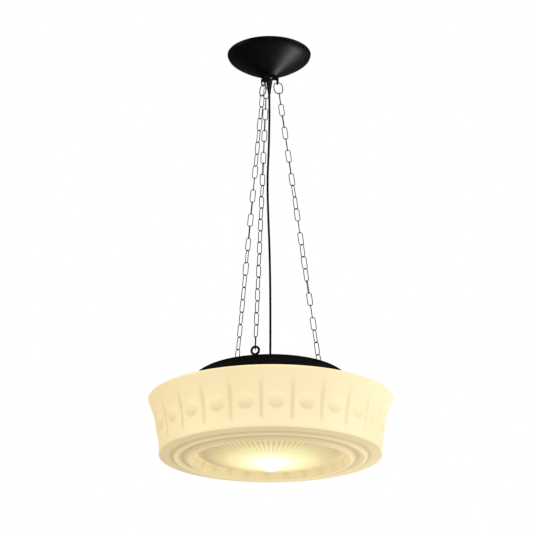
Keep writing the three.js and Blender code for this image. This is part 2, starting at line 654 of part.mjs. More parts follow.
add("holder_nipple", tube(NIPPLE_RADIUS, NIPPLE_BORE, HOLDER_NIPPLE_END, PAN_TOP - 0.5, 20), zincSteel);
add("holder_nut", nut(NUT_ACROSS, NUT_HEIGHT, NIPPLE_RADIUS + GAP, HOLDER_NUT_TOP - NUT_HEIGHT), zincSteel);
add("pan_lead", rod(CORD_RADIUS, CONTACT_TOP + GAP, PAN_TOP - 0.5, 8), blackCord);
add("holder_cap", holderCap(), blackPlastic);
add("holder_shell", tube(HOLDER_RADIUS, BULB_CAP_RADIUS + 1.2, shellEnd, capEnd - GAP), blackPlastic);
add("holder_contact", rod(BULB_CAP_RADIUS - 0.4, CONTACT_TOP - CONTACT_HEIGHT, CONTACT_TOP, 20), whitePlastic);
add("bulb_cap", rod(BULB_CAP_RADIUS, BULB_TOP - BULB_CAP_LENGTH, BULB_TOP, 24), zincSteel);
add("bulb_glass", bulbGlassShape(), bulbGlass);

export default group;
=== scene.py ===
import json
from math import cos, exp, pi, radians, sin, sqrt, tau

import bmesh
import bpy
from mathutils import Matrix, Vector

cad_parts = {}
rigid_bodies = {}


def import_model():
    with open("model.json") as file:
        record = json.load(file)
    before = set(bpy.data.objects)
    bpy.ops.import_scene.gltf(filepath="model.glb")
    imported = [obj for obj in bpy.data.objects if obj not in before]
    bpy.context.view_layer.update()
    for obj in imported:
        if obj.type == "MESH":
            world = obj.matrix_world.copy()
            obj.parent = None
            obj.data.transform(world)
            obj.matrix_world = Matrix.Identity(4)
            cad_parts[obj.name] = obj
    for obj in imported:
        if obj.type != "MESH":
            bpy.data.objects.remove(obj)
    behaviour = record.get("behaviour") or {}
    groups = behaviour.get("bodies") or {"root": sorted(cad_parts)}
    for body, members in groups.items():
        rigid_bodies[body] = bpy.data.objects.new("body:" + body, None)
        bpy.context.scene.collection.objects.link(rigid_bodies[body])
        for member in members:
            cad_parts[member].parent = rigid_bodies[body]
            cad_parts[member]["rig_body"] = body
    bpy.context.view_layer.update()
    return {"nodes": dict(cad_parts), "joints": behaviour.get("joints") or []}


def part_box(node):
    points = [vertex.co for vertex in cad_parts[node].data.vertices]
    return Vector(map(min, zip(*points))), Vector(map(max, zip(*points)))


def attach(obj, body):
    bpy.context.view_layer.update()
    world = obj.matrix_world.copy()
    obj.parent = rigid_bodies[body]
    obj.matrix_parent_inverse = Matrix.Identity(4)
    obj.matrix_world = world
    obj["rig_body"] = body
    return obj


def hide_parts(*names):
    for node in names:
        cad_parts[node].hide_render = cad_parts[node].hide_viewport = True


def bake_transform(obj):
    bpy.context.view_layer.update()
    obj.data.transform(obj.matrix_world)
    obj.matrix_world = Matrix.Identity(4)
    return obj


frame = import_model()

MM = 0.001
pivots = {joint["name"]: Vector(joint["pos_m"]) / MM for joint in frame["joints"] if "pos_m" in joint}


def top_of(node):
    """Height of the CAD node's highest point, in millimetres."""
    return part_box(node)[1].z / MM


def foot_of(node):
    """Height of the CAD node's lowest point, in millimetres."""
    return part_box(node)[0].z / MM


# ---- Camera ----
# It stands about 1.3 m below the ceiling and 2.6 m away and looks up at the lamp through a long lens, so that
# both the underside of the glass and the dish of the canopy are seen.
CAMERA_PLACE = (0, -2.567, -1.2867)
CAMERA_PITCH = 110.125
CAMERA_TURN = 0.111
CAMERA_ROLL = -0.16
LENS = 125.46
SENSOR_WIDTH = 36

camera = bpy.data.objects.new("camera", bpy.data.cameras.new("camera"))
camera.data.lens = LENS
camera.data.sensor_width = SENSOR_WIDTH
camera.matrix_world = (
    Matrix.Translation(CAMERA_PLACE)
    @ Matrix.Rotation(radians(CAMERA_TURN), 4, "Z")
    @ Matrix.Rotation(radians(CAMERA_PITCH), 4, "X")
    @ Matrix.Rotation(radians(CAMERA_ROLL), 4, "Z")
)
bpy.context.scene.collection.objects.link(camera)
bpy.context.scene.camera = camera


# ---- Pendant cord ----
# A round two-core flex with a smooth black PVC jacket, as an extruder leaves it. It carries no weight: it
# runs down between the chains from the boot under the canopy to the boot on the pan, and keeps a slight bow.
CORD_RADIUS = 1.6
CORD_BOW = 3
PIVOT_TO_CORD = 2.3
CORD_TOP = pivots["swing_sideways"].z + PIVOT_TO_CORD
CORD_END = pivots["pan_level_sideways"].z - PIVOT_TO_CORD
CORD_ROUTE = [ # share of the drop, and share of the bow there
    (0, 0),
    (0.1, 0.02),
    (0.22, -0.35),
    (0.34, -1),
    (0.46, -0.75),
    (0.58, -0.2),
    (0.7, 0.1),
    (0.85, 0.15),
    (1, 0),
]


def flowing(points, steps):
    """A smooth line through the points, with that many steps from each to the next."""
    points = [Vector(point) for point in points]
    padded = [2 * points[0] - points[1], *points, 2 * points[-1] - points[-2]]
    line = []
    for before, start, end, after in zip(padded, padded[1:], padded[2:], padded[3:]):
        for step in range(steps):
            t = step / steps
            slope = end - before
            bend = 2 * before - 5 * start + 4 * end - after
            twist = 3 * start - before - 3 * end + after
            line.append(start + 0.5 * t * (slope + t * (bend + t * twist)))
    return [*line, points[-1]]


def wire(path, radius, sides=8, closed=False):
    """Corners and faces of a round wire along a path. Its open ends are domed."""
    count = len(path)
    corners, faces = [], []
    side = None
    for i, point in enumerate(path):
        ahead = path[(i + 1) % count] if closed or i < count - 1 else point
        behind = path[i - 1] if closed or i > 0 else point
        along = (ahead - behind).normalized()
        if side is None:
            side = along.orthogonal().normalized()
        side = (side - side.dot(along) * along).normalized()
        other = along.cross(side)
        for j in range(sides):
            turn = tau * j / sides
            corners.append(point + radius * (cos(turn) * side + sin(turn) * other))
    for i in range(count if closed else count - 1):
        for j in range(sides):
            a, b = i * sides + j, i * sides + (j + 1) % sides
            c, d = (b + sides) % (count * sides), (a + sides) % (count * sides)
            faces.append((a, b, c, d))
    if not closed:
        first = path[0] + 0.4 * radius * (path[0] - path[1]).normalized()
        last = path[-1] + 0.4 * radius * (path[-1] - path[-2]).normalized()
        corners += [first, last]
        end = (count - 1) * sides
        for j in range(sides):
            follow = (j + 1) % sides
            faces.append((follow, j, count * sides))
            faces.append((end + j, end + follow, count * sides + 1))
    return corners, faces


def piece(name, parts, material, sharp=35):
    """One smooth-shaded object from lists of corners in millimetres and their faces."""
    corners, faces = [], []
    for part_corners, part_faces in parts:
        start = len(corners)
        corners += [MM * Vector(corner) for corner in part_corners]
        faces += [[start + index for index in face] for face in part_faces]
    mesh = bpy.data.meshes.new(name)
    mesh.from_pydata(corners, [], faces)
    shell = bmesh.new()
    shell.from_mesh(mesh)
    bmesh.ops.recalc_face_normals(shell, faces=shell.faces)
    shell.to_mesh(mesh)
    shell.free()
    mesh.shade_smooth()
    mesh.set_sharp_from_angle(angle=radians(sharp))
    mesh.materials.append(material)
    made = bpy.data.objects.new(name, mesh)
    bpy.context.scene.collection.objects.link(made)
    return made


def finish_of(name, dark, light, grain, roughness, relief, metal=0.0, gloss=0.5):
    """A finish that drifts between two colours and two roughnesses. Grain is its relief's pitch in mm."""
    material = bpy.data.materials.new(name)
    material.use_nodes = True
    nodes, links = material.node_tree.nodes, material.node_tree.links
    shader = nodes["Principled BSDF"]
    shader.inputs["Metallic"].default_value = metal
    shader.inputs["Specular IOR Level"].default_value = gloss
    place = nodes.new("ShaderNodeTexCoord")
    cloud = nodes.new("ShaderNodeTexNoise")
    cloud.inputs["Scale"].default_value = 1 / (14 * grain * MM)
    cloud.inputs["Detail"].default_value = 5
    links.new(place.outputs["Object"], cloud.inputs["Vector"])
    tint = nodes.new("ShaderNodeValToRGB")
    tint.color_ramp.elements[0].color = (*dark, 1)
    tint.color_ramp.elements[1].color = (*light, 1)
    tint.color_ramp.elements[0].position = 0.3
    tint.color_ramp.elements[1].position = 0.72
    links.new(cloud.outputs["Fac"], tint.inputs["Fac"])
    links.new(tint.outputs["Color"], shader.inputs["Base Color"])
    rub = nodes.new("ShaderNodeMapRange")
    rub.inputs["To Min"].default_value = roughness[0]
    rub.inputs["To Max"].default_value = roughness[1]
    links.new(cloud.outputs["Fac"], rub.inputs["Value"])
    links.new(rub.outputs["Result"], shader.inputs["Roughness"])
    speck = nodes.new("ShaderNodeTexNoise")
    speck.inputs["Scale"].default_value = 1 / (grain * MM)
    speck.inputs["Detail"].default_value = 3
    links.new(place.outputs["Object"], speck.inputs["Vector"])
    raised = nodes.new("ShaderNodeBump")
    raised.inputs["Strength"].default_value = 0.5
    raised.inputs["Distance"].default_value = relief * MM
    links.new(speck.outputs["Fac"], raised.inputs["Height"])
    links.new(raised.outputs["Normal"], shader.inputs["Normal"])
    return material


cord_jacket = finish_of("cord_jacket", (0.003, 0.003, 0.003), (0.006, 0.006, 0.006), 1.2, (0.6, 0.72), 0.01,
                        gloss=0.08)
cord_line = flowing(
    [(CORD_BOW * bow, 0, CORD_TOP + (CORD_END - CORD_TOP) * down) for down, bow in CORD_ROUTE], 4
)
cord = piece("cord_flex", [wire(cord_line, CORD_RADIUS, 16)], cord_jacket)
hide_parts("pendant_cord")
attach(cord, "cord")


# ---- Boots of the cord ----
# Moulded black rubber. The upper one hangs by its ball from the spider and tapers on to the cord; the lower
# one stands on the pan with a rounded foot. Both have ribs round their necks.
BALL_RADIUS = 5
BOOT_SHOULDER = 4.4
BOOT_NECK = 2.7
BOOT_RIB = 0.35
BOOT_GRIP = 6 # length of the sleeve that covers the cord's end
FOOT_RADIUS = 6


def turned(outline, sides=64, closed=False):
    """Corners and faces of a shape turned about the Z axis. The outline is a list of radius and height."""
    corners, faces, rings = [], [], []
    for radius, height in outline:
        start = len(corners)
        if radius < 1e-6:
            corners.append((0, 0, height))
            rings.append([start] * sides)
        else:
            turns = [tau * j / sides for j in range(sides)]
            corners += [(radius * cos(turn), radius * sin(turn), height) for turn in turns]
            rings.append(list(range(start, start + sides)))
    pairs = list(zip(rings, rings[1:]))
    if closed:
        pairs.append((rings[-1], rings[0]))
    for low, high in pairs:
        for j in range(sides):
            follow = (j + 1) % sides
            face = [low[j], low[follow], high[follow], high[j]]
            face = [index for n, index in enumerate(face) if index not in face[:n]]
            if len(face) > 2:
                faces.append(face)
    return corners, faces


def ribbed(start, end, radius, count, height):
    """Outline of a neck with moulded ribs, from one height and radius to the other."""
    outline = []
    steps = 6 * count
    for step in range(steps + 1):
        share = step / steps
        swell = height * max(0, sin(tau * count * share - pi / 2)) ** 2
        outline.append((radius[0] + (radius[1] - radius[0]) * share + swell, start + (end - start) * share))
    return outline


rubber = finish_of("boot_rubber", (0.005, 0.005, 0.005), (0.011, 0.011, 0.01), 0.4, (0.55, 0.7), 0.05,
                   gloss=0.3)
ball_height = pivots["swing_fore_aft"].z
sleeve_end = CORD_TOP - BOOT_GRIP
ball = [(BALL_RADIUS * cos(turn), ball_height + BALL_RADIUS * sin(turn)) for turn in
        [pi / 2 * (1 - step / 10) for step in range(11)]]
ball[0] = (0, ball_height + BALL_RADIUS)
upper_neck = ribbed(ball_height - 3, CORD_TOP + 1, (BOOT_SHOULDER, BOOT_NECK), 4, BOOT_RIB)
upper_sleeve = [(BOOT_NECK, CORD_TOP - 1), (2.3, sleeve_end + 0.4), (2, sleeve_end),
                (CORD_RADIUS - 0.1, sleeve_end)]
upper_boot = piece("boot_upper", [turned(ball + upper_neck + upper_sleeve, 32)], rubber)
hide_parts("upper_boot")
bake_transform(upper_boot)

foot_height = foot_of("lower_boot")
sleeve_top = CORD_END + BOOT_GRIP
foot = [(0, foot_height), (3, foot_height), (5.2, foot_height + 0.4), (FOOT_RADIUS, foot_height + 1.4),
        (FOOT_RADIUS, foot_height + 3.4), (5.4, foot_height + 4.2)]
lower_neck = ribbed(foot_height + 4.6, CORD_END - 1, (BOOT_SHOULDER, BOOT_NECK), 3, BOOT_RIB)
lower_sleeve = [(BOOT_NECK, CORD_END + 1), (2.3, sleeve_top - 0.4), (2, sleeve_top),
                (CORD_RADIUS - 0.1, sleeve_top)]
lower_boot = piece("boot_lower", [turned(foot + lower_neck + lower_sleeve, 32)], rubber)
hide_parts("lower_boot")
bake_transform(lower_boot)


# ---- Mounting strap ----
# A bent strip of zinc-plated steel with two screw slots and two turned-down ends. It is screwed to the
# ceiling box, and the canopy's side screws go into its ends.
def softened(node, name, material, edge):
    """A copy of a CAD node's mesh with its flat faces joined up and its edges rounded."""
    mesh = frame["nodes"][node].data.copy()
    mesh.name = name
    shell = bmesh.new()
    shell.from_mesh(mesh)
    bmesh.ops.remove_doubles(shell, verts=shell.verts, dist=1e-6)
    bmesh.ops.dissolve_limit(shell, angle_limit=radians(1), verts=shell.verts, edges=shell.edges)
    crisp = [line for line in shell.edges if line.is_manifold and line.calc_face_angle() > radians(38)]
    bmesh.ops.bevel(shell, geom=crisp, offset=edge * MM, segments=2, profile=0.6, affect="EDGES",
                    clamp_overlap=True)
    bmesh.ops.triangulate(shell, faces=[face for face in shell.faces if len(face.verts) > 4])
    shell.to_mesh(mesh)
    shell.free()
    mesh.shade_smooth()
    mesh.set_sharp_from_angle(angle=radians(40))
    mesh.materials.clear()
    mesh.materials.append(material)
    made = bpy.data.objects.new(name, mesh)
    bpy.context.scene.collection.objects.link(made)
    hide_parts(node)
    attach(made, frame["nodes"][node]["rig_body"])
    return made


zinc = finish_of("zinc_plate", (0.3, 0.3, 0.29), (0.46, 0.45, 0.42), 0.8, (0.28, 0.5), 0.03, metal=1)
softened("mounting_strap", "strap", zinc, 0.35)


# ---- Canopy ----
# Spun from steel sheet into a shallow dish with a drawn neck, and powder coated satin black. It covers the
# strap, and two slotted screws through its side hold it.
CANOPY_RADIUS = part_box("canopy")[1].x / MM
CANOPY_DEPTH = -foot_of("canopy")
CANOPY_NECK = 11.5
CANOPY_WALL = 1.2
CANOPY_HOLE = 5.3

black_coat = finish_of("black_powder_coat", (0.002, 0.002, 0.0018), (0.004, 0.004, 0.0036), 0.55,
                       (0.36, 0.46), 0.05, gloss=0.1)
dish = [
    (CANOPY_NECK, -CANOPY_DEPTH),
    (CANOPY_NECK + 1.5, -CANOPY_DEPTH + 1),
    (0.25 * CANOPY_RADIUS, -0.92 * CANOPY_DEPTH),
    (0.395 * CANOPY_RADIUS, -0.77 * CANOPY_DEPTH),
    (0.66 * CANOPY_RADIUS, -0.52 * CANOPY_DEPTH),
    (0.85 * CANOPY_RADIUS, -0.31 * CANOPY_DEPTH),
    (0.955 * CANOPY_RADIUS, -0.165 * CANOPY_DEPTH),
    (0.99 * CANOPY_RADIUS, -0.065 * CANOPY_DEPTH),
    (CANOPY_RADIUS, top_of("canopy")),
]
dish_outside = [(point.x, point.z) for point in flowing([(radius, 0, height) for radius, height in dish], 6)]
dish_inside = [(radius - CANOPY_WALL, height + CANOPY_WALL) for radius, height in dish_outside[6:-1]]
rim_top = top_of("canopy") + 0.1
dish_rim = [(CANOPY_RADIUS - 0.3, rim_top), (CANOPY_RADIUS - CANOPY_WALL, rim_top)]
neck_face = [(CANOPY_HOLE, -CANOPY_DEPTH), (CANOPY_NECK - 1, -CANOPY_DEPTH)]
neck_inside = [(CANOPY_NECK - 1, -CANOPY_DEPTH + CANOPY_WALL), (CANOPY_HOLE, -CANOPY_DEPTH + CANOPY_WALL)]
canopy = piece(
    "canopy_dish",
    [turned(neck_face + dish_outside + dish_rim + dish_inside[::-1] + neck_inside, 128, closed=True)],
    black_coat,
)
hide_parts("canopy")
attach(canopy, "ceiling_canopy")
softened("canopy_screw_near", "screw_near", black_coat, 0.25)
softened("canopy_screw_far", "screw_far", black_coat, 0.25)


# ---- Nipple, washer and nut ----
# A hollow M10 tube of plated steel holds the spider under the canopy. The nut and washer above it pull both
# tight.
NIPPLE_RADIUS = 5
NIPPLE_BORE = 3.4
THREAD_DEPTH = 0.35


def threaded(radius, start, end, pitch=1):
    """Outline of a screw thread turned as close rings, from one height up to the other."""
    outline = []
    for turn in range(int((end - start) / pitch)):
        foot = start + turn * pitch
        outline += [(radius - THREAD_DEPTH, foot), (radius, foot + 0.35 * pitch),
                    (radius, foot + 0.6 * pitch)]
    return [*outline, (radius - THREAD_DEPTH, end)]


def hollow_thread(name, node, radius, bore):
    """A threaded tube in the place of a CAD node."""
    start, end = foot_of(node), top_of(node)
    outline = threaded(radius, start, end) + [(bore, end), (bore, start)]
    tube = piece(name, [turned(outline, 40, closed=True)], zinc, 50)
    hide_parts(node)
    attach(tube, frame["nodes"][node]["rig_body"])


hollow_thread("canopy_nipple", "threaded_nipple", NIPPLE_RADIUS, NIPPLE_BORE)
softened("nipple_washer", "canopy_washer", zinc, 0.2)
softened("nipple_nut", "canopy_nut", zinc, 0.3)


# ---- Cord grip, terminal block and lead inside the canopy ----
# The grip is a moulded nylon collar, the block a white moulding with brass screws, and the lead the same flex
# as the pendant cord.
BLOCK_SCREWS = (-6, 6)
BLOCK_SCREW_HEAD = 2.4

nylon = finish_of("black_nylon", (0.006, 0.006, 0.006), (0.013, 0.013, 0.012), 0.6, (0.45, 0.6), 0.04,
                  gloss=0.4)
white_moulding = finish_of("white_moulding", (0.72, 0.7, 0.64), (0.8, 0.78, 0.73), 0.7, (0.4, 0.55), 0.03)
brass = finish_of("brass", (0.42, 0.27, 0.08), (0.58, 0.4, 0.15), 0.7, (0.25, 0.42), 0.02, metal=1)
softened("cord_grip", "cord_clamp", nylon, 0.4)
softened("terminal_block", "connector_block", white_moulding, 0.8)
block_low, block_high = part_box("terminal_block")
block_middle = (block_low + block_high) / (2 * MM)
for number, offset in enumerate(BLOCK_SCREWS, 1):
    seat = block_low.z / MM
    head = turned([(0, seat - 0.8), (2, seat - 0.8), (BLOCK_SCREW_HEAD, seat - 0.4),
                   (BLOCK_SCREW_HEAD, seat + 0.3), (0, seat + 0.3)], 24)
    shifted = [(x + block_middle.x + offset, y + block_middle.y, z) for x, y, z in head[0]]
    screw = piece(f"connector_screw_{number}", [(shifted, head[1])], brass)
    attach(screw, "ceiling_canopy")
softened("canopy_lead", "lead_upper", cord_jacket, 0.1)


# ---- Chain spider ----
# One stamping of thick steel plate: a hub with three arms, each bent down into an eared tab with a hole. The
# nipple holds it under the canopy's neck, and each tab carries one ring.
softened("chain_spider", "spider_plate", black_coat, 0.35)


# ---- Split rings ----
# Oval rings bent from black iron wire. The two ends meet in a butt at one side. Each hangs in its spider tab
# and holds the first link of its chain.
RING_WIRE = 0.75
RING_WIDTH = 15
RING_HEIGHT = 20
RING_BUTT = 0.12
CHAIN_BEARINGS = [radians(13.5 + 120 * k) for k in range(3)]


def oval(width, height, radius, bend_steps, butt):
    """Centre line of a wire oval in the XZ plane, open by a small butt on the side of +X."""
    bend = width / 2 - radius
    straight = height / 2 - radius - bend
    line = [Vector((bend, 0, butt))]
    for step in range(bend_steps + 1):
        turn = pi * step / bend_steps
        line.append(Vector((bend * cos(turn), 0, straight + bend * sin(turn))))
    for step in range(bend_steps + 1):
        turn = pi + pi * step / bend_steps
        line.append(Vector((bend * cos(turn), 0, -straight + bend * sin(turn))))
    return [*line, Vector((bend, 0, -butt))]


def hanging(points, turn, drop, top, pull):
    """Points drawn about the origin, turned about Z, let down and laid along a line from its top."""
    lay = Vector((0, 0, -1)).rotation_difference(pull).to_matrix().to_4x4()
    move = Matrix.Translation(top) @ lay @ Matrix.Translation((0, 0, -drop)) @ Matrix.Rotation(turn, 4, "Z")
    return [move @ point for point in points]


def on_bearing(k, circle, height):
    """A point at a distance from the lamp's axis, on the bearing of one chain."""
    return Vector((circle * cos(CHAIN_BEARINGS[k]), circle * sin(CHAIN_BEARINGS[k]), height))


chain_pulls = []
for k in range(3):
    ring_top = pivots[f"ring_{k + 1}_swing"]
    chain_top = pivots[f"chain_{k + 1}_swing"]
    pull = (chain_top - ring_top).normalized()
    chain_pulls.append(pull)
    line = oval(RING_WIDTH, RING_HEIGHT, RING_WIRE, 12, RING_BUTT)
    drop = RING_HEIGHT / 2 - RING_WIRE
    placed = hanging(line, CHAIN_BEARINGS[k], drop, ring_top, pull)
    ring = piece(f"ring_oval_{k + 1}", [wire(placed, RING_WIRE, 12)], black_coat)
    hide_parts(f"split_ring_{k + 1}")
    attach(ring, f"ring_{k + 1}")


# ---- Chains ----
# Long-link lamp chain, 23 oval links each, bent from thin black iron wire with an unwelded butt on one side.
# The links don't sit square to each other: each run has the twist it was hung with.
LINK_WIRE = 0.6
LINK_WIDTH = 8.4
LINK_PITCH = 19
LINK_BUTT = 0.1
LINK_TURNS = [ # degrees about the run of the chain, from the top link down
    (90, 0, 80, 0, 90, 5, 92, 10, 55, -45, 10, 85, 15, -45, 5, -40, 75, 5, 88, 0, 50, -40, 30),
    (35, -50, 30, -55, 40, -50, 0, 90, 10, -80, 0, 85, 30, -60, 0, 50, -45, 40, -50, 40, -50, 40, -48),
    (0, 88, 5, 85, 0, 88, 10, -75, 25, -60, 35, -52, 40, -50, 38, -52, 40, -50, 40, -50, 40, -48, 85),
]
link_height = LINK_PITCH + 4 * LINK_WIRE - 0.02
for k in range(3):
    links = []
    for number, turn in enumerate(LINK_TURNS[k]):
        line = oval(LINK_WIDTH, link_height, LINK_WIRE, 9, LINK_BUTT)
        drop = link_height / 2 - LINK_WIRE + number * LINK_PITCH
        placed = hanging(line, radians(turn), drop, pivots[f"chain_{k + 1}_swing"], chain_pulls[k])
        links.append(wire(placed, LINK_WIRE, 8))
    chain = piece(f"chain_links_{k + 1}", links, black_coat)
    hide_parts(f"chain_{k + 1}")
    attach(chain, f"chain_{k + 1}")


# ---- Pan ----
# Pressed from steel sheet and powder coated black: a flat top, a rounded shoulder, and a skirt rolled over at
# its foot. Three thumbscrews in the skirt grip the neck of the glass.
PAN_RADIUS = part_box("fitter_pan")[1].x / MM
PAN_FLAT = PAN_RADIUS - 18
PAN_WALL = 1
PAN_EYELET = 5.3

pan_top = top_of("fitter_pan")
pan_foot = foot_of("fitter_pan")
shoulder = flowing(
    [(PAN_FLAT - 24, 0, pan_top), (PAN_FLAT, 0, pan_top - 0.3), (PAN_FLAT + 13, 0, pan_top - 4.95),
     (PAN_RADIUS, 0, pan_top - 11), (PAN_RADIUS, 0, pan_foot + 4)], 7)
pan_outside = [(min(point.x, PAN_RADIUS), point.z) for point in shoulder]
pan_roll = [(PAN_RADIUS + 0.6, pan_foot + 1.8), (PAN_RADIUS + 0.7, pan_foot + 0.9),
            (PAN_RADIUS + 0.2, pan_foot + 0.1), (PAN_RADIUS - 0.6, pan_foot),
            (PAN_RADIUS - PAN_WALL, pan_foot + 0.5)]
pan_inside = [(radius - PAN_WALL, height - PAN_WALL) for radius, height in pan_outside[:-1]]
pan_eyelet = [(PAN_EYELET, pan_top - PAN_WALL), (PAN_EYELET, pan_top - 0.2), (PAN_EYELET + 0.3, pan_top)]
pan_coat = finish_of("pan_powder_coat", (0.002, 0.002, 0.0018), (0.004, 0.004, 0.0036), 0.55, (0.55, 0.68),
                     0.05, gloss=0.08)
pan_outline = pan_eyelet + pan_outside + pan_roll + pan_inside[::-1]
pan = piece("pan_pressing", [turned(pan_outline, 160, closed=True)], pan_coat)
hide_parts("fitter_pan")
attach(pan, "pan_and_shade")


# ---- Pan eyes ----
# Screw eyes of 3.4 mm iron wire on a flared collar. The shank goes through the pan into a nut beneath it, and
# the last link of a chain hangs in each eye.
EYE_CIRCLE = 74
EYE_WIRE = 1.7
EYE_RADIUS = 7.2
EYE_SHANK = 2

eye_middle = top_of("pan_eyebolt_1") - EYE_RADIUS
eye_foot = eye_middle - EYE_RADIUS
shank_foot = foot_of("pan_eyebolt_1")
for k in range(3):
    foot_point = on_bearing(k, EYE_CIRCLE, 0)
    spin = Matrix.Translation(foot_point) @ Matrix.Rotation(CHAIN_BEARINGS[k] + pi / 2, 4, "Z")
    bar = EYE_RADIUS - EYE_WIRE
    loop = [Vector((bar * sin(turn), 0, eye_middle - bar * cos(turn)))
            for turn in [tau * (0.02 + 0.96 * step / 40) for step in range(41)]]
    seat = pan_top + 0.3
    collar = turned([(0, seat), (6.6, seat), (7, seat + 0.4), (6.7, seat + 0.9), (4.6, seat + 1.7),
                     (3.2, seat + 3), (2.6, eye_foot + 0.6), (1.6, eye_foot + 1.6), (0, eye_foot + 2)], 32)
    shank = turned([(0, shank_foot), *threaded(EYE_SHANK, shank_foot, seat, 0.7), (0, seat)], 24)
    parts = [([spin @ Vector(corner) for corner in corners], faces)
             for corners, faces in (wire(loop, EYE_WIRE, 14), collar, shank)]
    eye = piece(f"eye_{k + 1}", parts, black_coat)
    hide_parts(f"pan_eyebolt_{k + 1}")
    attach(eye, "pan_and_shade")
    softened(f"eyebolt_nut_{k + 1}", f"eye_nut_{k + 1}", zinc, 0.25)


# ---- Thumbscrews ----
# Turned brass with a straight-knurled head. They go through the skirt of the pan, and the bare tip of each
# presses on the glass neck under its bead.
KNURLS = 30
KNURL_DEPTH = 0.28
HEAD_RADIUS = 4.9
HEAD_LENGTH = 7
SCREW_RADIUS = 2.4
TIP_REACH = 101.9 # from the lamp's axis to the tip

for k in range(3):
    bearing = CHAIN_BEARINGS[k] + pi / 3
    low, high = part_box(f"thumbscrew_{k + 1}")
    middle = (low + high) / (2 * MM)
    outward = Vector((cos(bearing), sin(bearing), 0))
    reach = middle.dot(outward)
    tip, end = TIP_REACH, 2 * reach - TIP_REACH
    knob = end - HEAD_LENGTH
    thread = threaded(SCREW_RADIUS, tip + 0.8, knob - 0.4, 0.8)
    shank = turned([(0, tip), (1.6, tip), *thread, (SCREW_RADIUS, knob), (0, knob)], 24)
    head_outline = [(0, knob), (4.2, knob), (HEAD_RADIUS, knob + 0.7), (HEAD_RADIUS, end - 0.7), (4.2, end),
                    (2.6, end), (2.2, end - 0.5), (0, end - 0.5)]
    corners, faces = turned(head_outline, 4 * KNURLS)
    cut = []
    for x, y, z in corners:
        radius = sqrt(x * x + y * y)
        number = round(4 * KNURLS * (Vector((x, y)).angle_signed(Vector((1, 0)), 0)) / tau)
        shrink = KNURL_DEPTH if radius > 4.5 and number % 4 in (2, 3) else 0
        cut.append((x * (1 - shrink / max(radius, 1)), y * (1 - shrink / max(radius, 1)), z))
    level = Matrix.Translation((0, 0, middle.z))
    spin = level @ Matrix.Rotation(bearing, 4, "Z") @ Matrix.Rotation(pi / 2, 4, "Y")
    parts = [([spin @ Vector(corner) for corner in part], part_faces)
             for part, part_faces in (shank, (cut, faces))]
    screw = piece(f"thumb_{k + 1}", parts, brass, 30)
    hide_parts(f"thumbscrew_{k + 1}")
    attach(screw, f"thumbscrew_{k + 1}")


# ---- Glass shade ----
# One pressing of cream opal glass. The wall has 24 panels between soft grooves, each with a round button.
# The underside steps in through two beads to a domed sunburst with bosses round it and a knob in its middle.
LIP_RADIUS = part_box("glass_shade")[1].x / MM
BASE_RADIUS = LIP_RADIUS - 16.6
WALL_FLARE = 2.1
GLASS_WALL = 4
NECK_RADIUS = 101.6
NECK_BEAD = 3.4
LIP_BELOW_PAN = 41.7
NECK_BELOW_PAN = 15
NECK_LENGTH = 20
KNOB_RADIUS = 18
KNOB_DEPTH = 9.5
KNOB_IN_CAD = 8
DOME_RADIUS = 107
DOME_SAG = 18
RIM_ABOVE_DOME = 6
BASE_ABOVE_RIM = 7
WALL_FOOT = 0.97 # share of the wall's depth at which the rounded base corner begins
UNDERSIDE = [ # radius, and height above the rim
    (110, 6),
    (111.2, 1.2),
    (113.5, -0.6),
    (116.3, -0.5),
    (118.4, 1.6),
    (120.5, 3.5),
    (124, 3.4),
    (127.5, 4.2),
    (130, 5.2),
    (132.1, 3.2),
    (134.5, 2.4),
    (136.9, 3.6),
    (139.2, 6),
    (144, 6.1),
    (151, 6.2),
    (155.6, 6.5),
    (158.3, 7.4),
]
PANELS = 24
FIRST_GROOVE = radians(10.5)
COLUMNS = 576
GROOVE_DEPTH = 1.2
GROOVE_HALF_WIDTH = 2.6
BUTTON_RADIUS = 12.5
BUTTON_HEIGHT = 0.9
BUTTON_SHARE = 0.54
RIBS = 72
RIB_HEIGHT = 1.2
BOSS_CIRCLE = 108.5
BOSS_HEIGHT = 2.2
BOSS_HALF_WIDTH = 4.4
BOSS_HALF_LENGTH = 2.6

lip_height = pan_top - LIP_BELOW_PAN
neck_top = pan_top - NECK_BELOW_PAN
neck_foot = neck_top - NECK_LENGTH
dome_low = foot_of("glass_shade") + KNOB_IN_CAD
rim_height = dome_low + RIM_ABOVE_DOME
base_height = rim_height + BASE_ABOVE_RIM
shade_depth = lip_height - base_height


def ease(low, high, value):
    """0 below the first value, 1 above the second, and smooth between."""
    share = min(1, max(0, (value - low) / (high - low)))
    return share * share * (3 - 2 * share)


def wall_radius(share):
    """Radius of the wall, from the lip at 0 to the base corner at 1."""
    return BASE_RADIUS + (LIP_RADIUS - BASE_RADIUS) * (1 - share) ** WALL_FLARE


